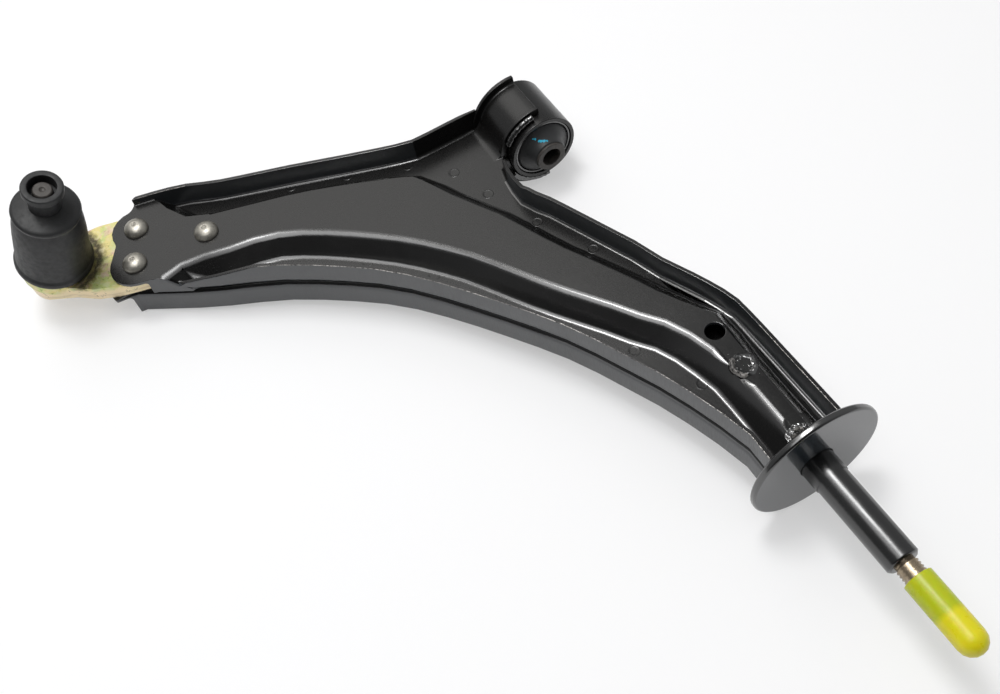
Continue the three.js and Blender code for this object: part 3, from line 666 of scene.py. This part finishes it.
def turned(name, profile, base, axis, steps=96):
    """A closed body of revolution: profile lists (radius, height) in millimetres about base, along axis."""
    side = axis.orthogonal().normalized()
    other = axis.cross(side)
    bm = bmesh.new()
    rings = [ring_of(bm, base + axis * (height * MM), radius, side, other, steps)
             for radius, height in profile]
    hollow = len(rings[0]) > 1
    for one, two in zip(rings, rings[1:] + (rings[:1] if hollow else [])):
        skin(bm, one, two, steps)
    bmesh.ops.recalc_face_normals(bm, faces=bm.faces)
    return weighted(mesh_of(bm, name), TURNED_SOFT)


WELD_RINGS = 26
WELD_STEPS = 84
# A weld's foot wanders by this share of its reach. Its edge and its dish lie this high, in millimetres.
FOOT_WANDER = 0.14
SUNK_EDGE = -0.5
DEEPEST_DIP = -0.2
# The dish's middle rises by the first share of its hollow. The lumps of the crest swell by the second
# share, on a crest that is as wide as the third.
MIDDLE_RISE = 0.2
SWELL = 0.55
CREST_WIDTH = 0.15
# How fast the noise changes round the foot, and per millimetre in the lumps and the two roughnesses.
FOOT_PITCH = 1.8
LUMP_PITCH = 0.3
BROAD_PITCH = 0.28
FINE_PITCH = 1.1
# How high the two roughnesses are, in millimetres.
BROAD_ROUGH = 0.5
FINE_ROUGH = 0.3


def rough_weld(name, middle, reach, height, lobes, seed, crest, hollow, turn=0.0, wander=3.0):
    """A puddle of weld metal on the panel: a lumpy ring round a dish, with a ragged foot."""
    def wave(x, y, pitch, layer=0):
        return noise.noise(Vector((x * pitch, y * pitch, seed + layer)))

    def lift(x, y, angle, share):
        ring = math.exp(-((share - crest) / CREST_WIDTH) ** 2)
        lump = SWELL + SWELL * math.sin(lobes * angle + turn + wander * wave(x, y, LUMP_PITCH))
        broad = wave(x, y, BROAD_PITCH, 3) * BROAD_ROUGH
        fine = wave(x, y, FINE_PITCH) * FINE_ROUGH * (1 + height * lump)
        rise = height * ring * lump + (broad + fine) * (1 - share ** 6) - hollow * (1 - share) ** 2
        return max(rise, DEEPEST_DIP)

    def point(angle, share):
        across, along = math.cos(angle), math.sin(angle)
        away = reach * (1 + FOOT_WANDER * wave(across, along, FOOT_PITCH)) * share
        x, y = away * across, away * along
        z = lift(x, y, angle, share) if share < 1 else SUNK_EDGE
        return bm.verts.new(middle + Vector((x, y, z)) * MM)

    bm = bmesh.new()
    rings = [[bm.verts.new(middle + UP * (hollow * MIDDLE_RISE * MM))]]
    for r in range(1, WELD_RINGS + 1):
        rings.append([point(2 * math.pi * i / WELD_STEPS, r / WELD_RINGS) for i in range(WELD_STEPS)])
    for one, two in zip(rings, rings[1:]):
        skin(bm, one, two, WELD_STEPS)
    bm.faces.new(list(reversed(rings[-1])))
    bmesh.ops.recalc_face_normals(bm, faces=bm.faces)
    return mesh_of(bm, name)


# Beads are flattened to this share of their height.
BEAD_HEIGHT = 0.7


def beads(name, spots):
    """Small domes of weld spatter: (place, radius in millimetres)."""
    bm = bmesh.new()
    for where, radius in spots:
        for v in bmesh.ops.create_icosphere(bm, subdivisions=2, radius=radius * MM)["verts"]:
            v.co.z *= BEAD_HEIGHT
            v.co += where
    return mesh_of(bm, name)


# A spot weld's mark, from its middle out: (share of its radius, share of its height).
MARK = ((0.0, 0.05), (0.55, 0.05), (0.74, 0.10), (0.84, 1.0), (0.92, 0.85), (1.0, -0.6))
MARK_STEPS = 40
MARK_SOFT = 60


def spot_marks(name, places, radius=4.0, proud=0.16):
    """The shallow rings that spot welding leaves in a flange."""
    side, other = Vector((1, 0, 0)), FORWARD
    bm = bmesh.new()
    for where in places:
        rings = [ring_of(bm, where + UP * (lift * proud * MM), share * radius, side, other, MARK_STEPS)
                 for share, lift in MARK]
        for one, two in zip(rings, rings[1:]):
            skin(bm, one, two, MARK_STEPS)
        bm.faces.new(list(reversed(rings[-1])))
    mesh = mesh_of(bm, name)
    mesh.set_sharp_from_angle(angle=math.radians(MARK_SOFT))
    return mesh


# The scales of a weld bead turn by this many radians a metre, and its grit changes this fast.
SCALE_DRIFT = 3
GRIT_PITCH = 900


def rippled(node, ripples, depth):
    """A weld bead with the scales of its run, from the node's own bar."""
    bm = bmesh.new()
    bm.from_mesh(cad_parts[node].data)
    bmesh.ops.remove_doubles(bm, verts=bm.verts, dist=NODE_MERGED)
    bmesh.ops.subdivide_edges(bm, edges=bm.edges, cuts=2, use_grid_fill=True)
    for _ in range(2):
        bmesh.ops.smooth_vert(bm, verts=bm.verts, factor=0.5, use_axis_x=True, use_axis_y=True,
                              use_axis_z=True)
    bm.normal_update()
    for v in bm.verts:
        at = v.co - origin
        turn = math.atan2(at.z, at.x) + at.length * SCALE_DRIFT
        push = math.sin(turn * ripples) * depth * 0.5 + noise.noise(v.co * GRIT_PITCH) * depth
        v.co += v.normal * push * MM
    return mesh_of(bm, "rippled_" + node)


# Finishes, with a checker's dabs of paint on the bush's rubber: (place, reach in millimetres).
DABS = ((place(-4.4, 283.5, 12.7), 1.0), (place(-3.2, 282.8, 12.5), 1.2), (place(-1.6, 281.9, 12.3), 1.1),
        (place(0.2, 281.0, 12.1), 0.8), (place(-6.2, 285.4, 14.2), 0.8), (place(-7.4, 286.2, 14.6), 0.5))
black = paint("black_dip_paint", grain=0.45, runs=True)
# The flanges' outboard sides: the draw's marks over a lighter, bluish grey base, which is a painted
# reflection of the white table.
drawn_and_sheen = paint("drawn_paint_and_painted_sheen", base=0.030, rough=0.36, streaks=0.5, mirror=1.0, warm=-0.12)
slick = paint("slick_black_paint", base=0.0030, rough=0.17, peel=0.16, grain=0.05, mirror=1.0, index=1.65,
              fades=True)
# The disc's rear face: a lighter, bluish grey base under a sharp gloss, which is a painted reflection of the
# white table.
disc_face = paint("disc_face_painted_reflection", base=0.028, rough=0.12, peel=0.05, grain=0.05, mirror=1.0, warm=-0.20,
                  index=1.6)
weld_paint = paint("weld_paint", base=0.003, rough=0.12, peel=0.5, grain=0.0, mirror=1.0, index=1.8)
chips_and_glints = chipped("chipped_edge_and_painted_glints")
shiny = gloss("black_gloss_paint")
yellow_zinc = zinc("yellow_zinc_plate")
satin = steel("satin_steel", tone=(0.46, 0.44, 0.39), rough=0.42)
thread_steel = steel("thread_steel", tone=(0.42, 0.34, 0.24), rough=0.28)
dark_steel = phosphate("dark_steel")
boot_rubber = rubber("boot_rubber_finish")
bush_rubber = rubber("bush_rubber_finish", base=0.026, rough=0.40, dust=0.04, dabs=DABS)
cap_vinyl = vinyl("yellow_cap_vinyl")
seat_finish = acetal("seat_acetal")

make_camera()

# Pressings: (node, rounding of its bends in millimetres).
PRESSINGS = (("top_pressing", 2.2), ("bottom_pressing", 1.0))
PRESSING_SOFT = 76
EYE_CORNER = (-80, 280)
CUT_HEIGHT = 18.7
FLANGE_TOP = 19.5
# The near edge lies below a line through this place on the arm, with this slope.
DIVIDE_AT = (-20, 120)
DIVIDE_SLOPE = -1.357
# How far the normals point up: chipped faces more than the first, no bend or chip as much as the second.
CHIPPED_LEAST = 0.25
FLAT = 0.97
# The drawn faces, painted lighter as a painted reflection of the table, point up by less than the first and
# outboard by more than the second.
DRAWN_MOST_UP = 0.5
DRAWN_OUTBOARD = 0.35


def by_eye(centre):
    """Whether a face lies near the front eye, where the pressings are plain."""
    at = measured(centre)
    return at.x > EYE_CORNER[0] and at.y > EYE_CORNER[1]


def near_cut(centre, normal):
    """The sheared near edge, where the paint is chipped."""
    at = measured(centre)
    if at.z <= CUT_HEIGHT or at.y >= DIVIDE_AT[1] + DIVIDE_SLOPE * (at.x - DIVIDE_AT[0]):
        return False
    return CHIPPED_LEAST < normal.z < FLAT and normal.dot(OUTBOARD) > 0


def drawn_and_sheen_side(centre, normal):
    """The outboard side of the flanges, which shows the marks of the draw and is painted a lighter grey as a
    painted reflection of the table.
    """
    if by_eye(centre) or measured(centre).z >= FLANGE_TOP:
        return False
    return abs(normal.z) < DRAWN_MOST_UP and normal.dot(OUTBOARD) > DRAWN_OUTBOARD


def bent_face(centre, normal):
    """The bends and walls, which are slicker than the flats."""
    return abs(normal.z) < FLAT and not by_eye(centre)


for node, fold in PRESSINGS:
    mesh = split_faces(refined(node, fold=fold, soft=PRESSING_SOFT), near_cut, drawn_and_sheen_side, bent_face)
    linked(node + "_skin", mesh, (black, chips_and_glints, drawn_and_sheen, slick), "arm", "black_paint", node)

# Pin and stop disc: bare steel on the thread, and on the disc's face towards the pin a painted reflection of
# the white table.
THREAD_STARTS = -70.2
TURNED_REAR = -0.95


def thread_side(centre, normal):
    return measured(centre).y < THREAD_STARTS


# The disc's rear face, which carries the painted reflection of the white table.
def painted_reflection_side(centre, normal):
    return normal.y < TURNED_REAR


linked("rear_pin_skin", split_faces(refined("rear_pin", width=0.0), thread_side), (shiny, thread_steel),
       "arm", "black_paint", "rear_pin")
linked("stop_disc_skin", split_faces(refined("stop_disc", width=0.4), painted_reflection_side), (slick, disc_face),
       "arm", "black_paint", "stop_disc")

# Nodes of one finish: (node, body, slot, material, rounding of its edges in millimetres).
DRESSED = (
    ("front_eye", "arm", "black_paint", black, 0.5),
    ("bush_outer_shell", "arm", "black_paint", slick, 0.35),
    ("bush_inner_sleeve", "bush_inner", "bare_steel", dark_steel, 0.5),
    ("ball_housing", "arm", "yellow_zinc", yellow_zinc, 0.6),
    ("ball_stud", "stud", "bare_steel", dark_steel, 0.3),
    ("thread_cap", "cap", "yellow_plastic", cap_vinyl, 0.3),
)
for node, body, slot, material, width in DRESSED:
    linked(node + "_skin", refined(node, width), material, body, slot, node)

for node, material in (("ball_seat_upper", seat_finish), ("ball_seat_lower", seat_finish),
                       ("seat_retainer", satin), ("boot_foot_ring", satin)):
    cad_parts[node].data.materials[0] = material

# The bush's rubber climbs the sleeve in a smooth cone at both ends.
CONE = ((19.3, 4.5), (19.2, 2.0), (18.8, 1.0), (18.0, 0.4), (16.4, -0.9), (14.8, -2.3), (13.3, -4.0),
        (12.2, -5.9), (11.6, -7.4), (11.3, -8.0), (10.9, -8.2))
EYE_LENGTH = 45
BUSH_START = place(0, 287, 0)
far_cone = tuple((radius, EYE_LENGTH - height) for radius, height in reversed(CONE))
linked("bush_rubber_skin", turned("bush_rubber", CONE + far_cone, BUSH_START, FORWARD),
       bush_rubber, "arm", "black_rubber", "bush_rubber")

# Rivets: a high round head with the setting tool's ring on its crown, a shank and a set tail.
HEAD = ((8.2, 0.0), (8.2, 0.5), (8.05, 1.2), (7.6, 2.2), (6.85, 3.2), (5.8, 4.1), (4.4, 4.8), (3.0, 5.2),
        (1.75, 5.38), (1.5, 5.30), (1.3, 5.02), (1.05, 5.04), (0.9, 5.22), (0.5, 5.2), (0.3, 5.0),
        (0.0, 4.95))
HEAD_HEIGHT = 5.4
SHANK = 5.0
TAIL = ((0.0, 0.0), (4.5, 0.0), (6.4, 0.7), (7.2, 2.2), (7.2, 4.0), (SHANK, 4.0))
RIVET_STEPS = 64
for name in ("rivet_1", "rivet_2", "rivet_3"):
    low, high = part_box(name)
    middle = (low + high) / 2
    foot = (high.z - low.z) / MM - HEAD_HEIGHT
    profile = TAIL + ((SHANK, foot),) + tuple((radius, height + foot) for radius, height in HEAD)
    mesh = turned(name + "_turned", profile, Vector((middle.x, middle.y, low.z)), UP, RIVET_STEPS)
    linked(name + "_skin", mesh, satin, "arm", "bare_steel", name)

# Spot welds along both flanges, on the strip beside the raised panel.
NEAR_SPOTS = ((-143.2, 270.7), (-113.3, 235.2), (-87.0, 195.3), (-62.8, 156.9), (-41.9, 115.8),
              (-22.7, 74.7))
FAR_SPOTS = ((-158.1, 360.4), (-121.9, 345.4), (-83.6, 327.6), (-61.2, 302.8), (-51.8, 272.9),
             (-37.8, 233.3), (-20.5, 193.7), (-4.3, 155.0))
STRIP_TOP = 2.65
linked("spot_welds", spot_marks("spot_welds", [place(x, y, STRIP_TOP) for x, y in NEAR_SPOTS + FAR_SPOTS]),
       black, "arm", "black_paint")

# Faint rings of heat round the two welds on the panel.
HEAT_RINGS = (place(0.4, 19.5, 14.1), place(1.2, 66.5, 14.1))
linked("weld_rings", spot_marks("weld_rings", HEAT_RINGS, radius=7.4, proud=0.06),
       black, "arm", "black_paint")

# Welds: the plug over the pin, the run at the disc and the beads at the eye, with spatter.
PLUG = place(-0.6, 66, PANEL_TOP)
ROOT = place(-2.0, 12.4, PANEL_TOP)
SPATTER = ((-6.5, 58.0, 0.5), (-7.8, 62.5, 0.35), (3.5, 56.5, 0.4), (6.8, 73.5, 0.45), (-3.0, 76.6, 0.35),
           (-4.6, 17.5, 0.5), (3.8, 16.4, 0.4), (-2.0, 19.5, 0.3), (5.0, 20.5, 0.35), (-5.4, 12.4, 0.6))


# From a weld's middle, towards the ball from the first distance and above the second, the weld's bright
# specks are painted glints.
PLUG_GLINTS = (-2.2, 0.3)
ROOT_GLINTS = (2.5, 0.8)


def plug_painted_glints(centre, normal):
    at = (centre - PLUG) / MM
    return at.x < PLUG_GLINTS[0] and at.z > PLUG_GLINTS[1]


def root_painted_glints(centre, normal):
    at = (centre - ROOT) / MM
    return at.x < ROOT_GLINTS[0] and at.z > ROOT_GLINTS[1]


plug_weld = rough_weld("plug_weld", PLUG, reach=8.4, height=2.0, lobes=1, seed=2.0, crest=0.76, hollow=1.0,
                       turn=-math.pi / 2, wander=1.0)
linked("pin_plug_weld_skin", split_faces(plug_weld, plug_painted_glints), (weld_paint, chips_and_glints),
       "arm", "black_paint", "pin_plug_weld")
root_weld = rough_weld("root_weld", ROOT, reach=8.6, height=3.0, lobes=2, seed=7.0, crest=0.45, hollow=0.0)
linked("root_weld_skin", split_faces(root_weld, root_painted_glints), (weld_paint, chips_and_glints),
       "arm", "black_paint", "root_weld")
for node in ("eye_weld_upper", "eye_weld_lower"):
    linked(node + "_skin", rippled(node, ripples=40, depth=0.22), slick, "arm", "black_paint", node)
linked("spatter", beads("spatter", [(place(x, y, PANEL_TOP), radius) for x, y, radius in SPATTER]),
       weld_paint, "arm", "black_paint")

# Boot: a bell with a rolled foot, a crease under its shoulder and a straight neck with a thick rim.
# Profiles list (radius, height over the ball) in millimetres.
BELL = ((24.6, 12.9), (24.95, 13.6), (24.95, 15.9), (24.5, 17.0), (23.8, 17.9), (23.6, 19.0), (23.2, 30.0),
        (22.6, 45.0), (21.9, 54.0), (21.2, 59.0), (20.65, 61.6), (20.4, 62.8), (20.38, 63.5), (20.7, 64.6),
        (21.1, 65.6), (21.2, 66.3), (20.95, 67.1), (20.2, 67.9), (19.0, 68.5), (15.0, 69.8), (11.2, 70.9),
        (10.2, 71.1), (9.9, 71.3))
INSIDE = ((6.4, 71.3), (6.4, 68.7), (16.3, 64.9), (18.8, 62.4), (21.0, 17.0), (19.6, 17.0), (19.6, 12.9))
NECK = ((6.4, 71.6), (9.9, 71.6), (9.8, 72.6), (9.8, 82.4), (10.2, 83.2), (11.4, 83.5), (12.3, 83.9),
        (12.8, 84.8), (12.8, 88.2), (12.5, 89.0), (11.9, 89.4), (9.4, 89.4), (8.8, 89.1), (8.6, 88.5),
        (8.6, 81.4), (6.4, 81.4))
boot = linked("boot_skin", turned("boot", BELL + INSIDE, BALL, STUD_AXIS),
              boot_rubber, None, "boot_rubber", "boot")
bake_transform(boot)
linked("boot_collar_skin", turned("neck", NECK, BALL, STUD_AXIS),
       boot_rubber, "boot_top", "boot_rubber", "boot_collar")

# The table is tilted as three low points of the arm are, and lies this gap below its lowest point.
LIES_ON = (place(0, 2, -42), place(-284, 341, -19.15), place(0, 293, -31.8))
TABLE_REACH = 6.0
TABLE_GAP = 0.2 * MM
CORNERS = ((-1, -1), (1, -1), (1, 1), (-1, 1))


def make_table():
    a, b, c = LIES_ON
    up = (b - a).cross(c - a).normalized()
    if up.z < 0:
        up.negate()
    middle = (a + b + c) / 3
    lowest = min((v.co - middle).dot(up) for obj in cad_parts.values() for v in obj.data.vertices)
    middle += up * (lowest - TABLE_GAP)
    across = up.orthogonal().normalized() * TABLE_REACH
    along = up.cross(across)
    bm = bmesh.new()
    bm.faces.new([bm.verts.new(middle + across * i + along * j) for i, j in CORNERS])
    mesh = bpy.data.meshes.new("floor")
    bm.to_mesh(mesh)
    bm.free()
    obj = bpy.data.objects.new("floor", mesh)
    bpy.context.scene.collection.objects.link(obj)
    mesh.materials.append(table_finish("white_table"))


# The room is darker on the photographer's side.
ROOM_FRONT = (-0.562, -0.803, 0.2)
ROOM_COLOUR = colour_of(0.98, 0.99, 1)
ROOM_LEVELS = (("From Min", 0.0), ("From Max", 0.8), ("To Min", 0.40), ("To Max", 0.06))
# What the camera sees of the room past the table's edge.
BACKDROP = 0.72


def make_room():
    world = bpy.data.worlds.new("studio")
    world.use_nodes = True
    tree = world.node_tree
    background = tree.nodes["Background"]
    toward = tree.nodes.new("ShaderNodeVectorMath")
    toward.operation = "DOT_PRODUCT"
    tree.links.new(tree.nodes.new("ShaderNodeTexCoord").outputs["Generated"], toward.inputs[0])
    toward.inputs[1].default_value = ROOM_FRONT
    level = tree.nodes.new("ShaderNodeMapRange")
    tree.links.new(toward.outputs["Value"], level.inputs["Value"])
    for key, value in ROOM_LEVELS:
        level.inputs[key].default_value = value
    shown = tree.nodes.new("ShaderNodeMix")
    tree.links.new(tree.nodes.new("ShaderNodeLightPath").outputs["Is Camera Ray"], shown.inputs["Factor"])
    tree.links.new(level.outputs["Result"], shown.inputs["A"])
    shown.inputs["B"].default_value = BACKDROP
    background.inputs["Color"].default_value = ROOM_COLOUR
    tree.links.new(shown.outputs["Result"], background.inputs["Strength"])
    bpy.context.scene.world = world


PLAIN_LIGHT = (1, 1, 1)
WARM_LIGHT = (1.0, 0.98, 0.95)
# Lamps: (name, place, aim, size, power in watts, tint), in metres.
LAMPS = (
    ("back_softbox", (0.02, 1.30, 1.72), (0, 0, 0.03), (1.55, 1.8), 9.5, WARM_LIGHT),
    ("key_softbox", (0.02, 0.42, 1.80), (-0.1, 0.2, 0.03), (0.5, 0.5), 14, PLAIN_LIGHT),
    ("ceiling_softbox", (-0.40, -0.10, 1.90), (-0.40, -0.10, 0.0), (1.3, 1.3), 12, PLAIN_LIGHT),
)


def lamp(name, where, aim, size, power, tint):
    data = bpy.data.lights.new(name, "AREA")
    data.shape = "RECTANGLE"
    data.size, data.size_y = size
    data.energy = power
    data.color = tint
    obj = bpy.data.objects.new(name, data)
    bpy.context.scene.collection.objects.link(obj)
    obj.location = where
    obj.rotation_euler = (Vector(aim) - Vector(where)).to_track_quat("-Z", "Y").to_euler()


make_table()
make_room()
for row in LAMPS:
    lamp(*row)
bpy.context.scene.view_settings.view_transform = "Standard"
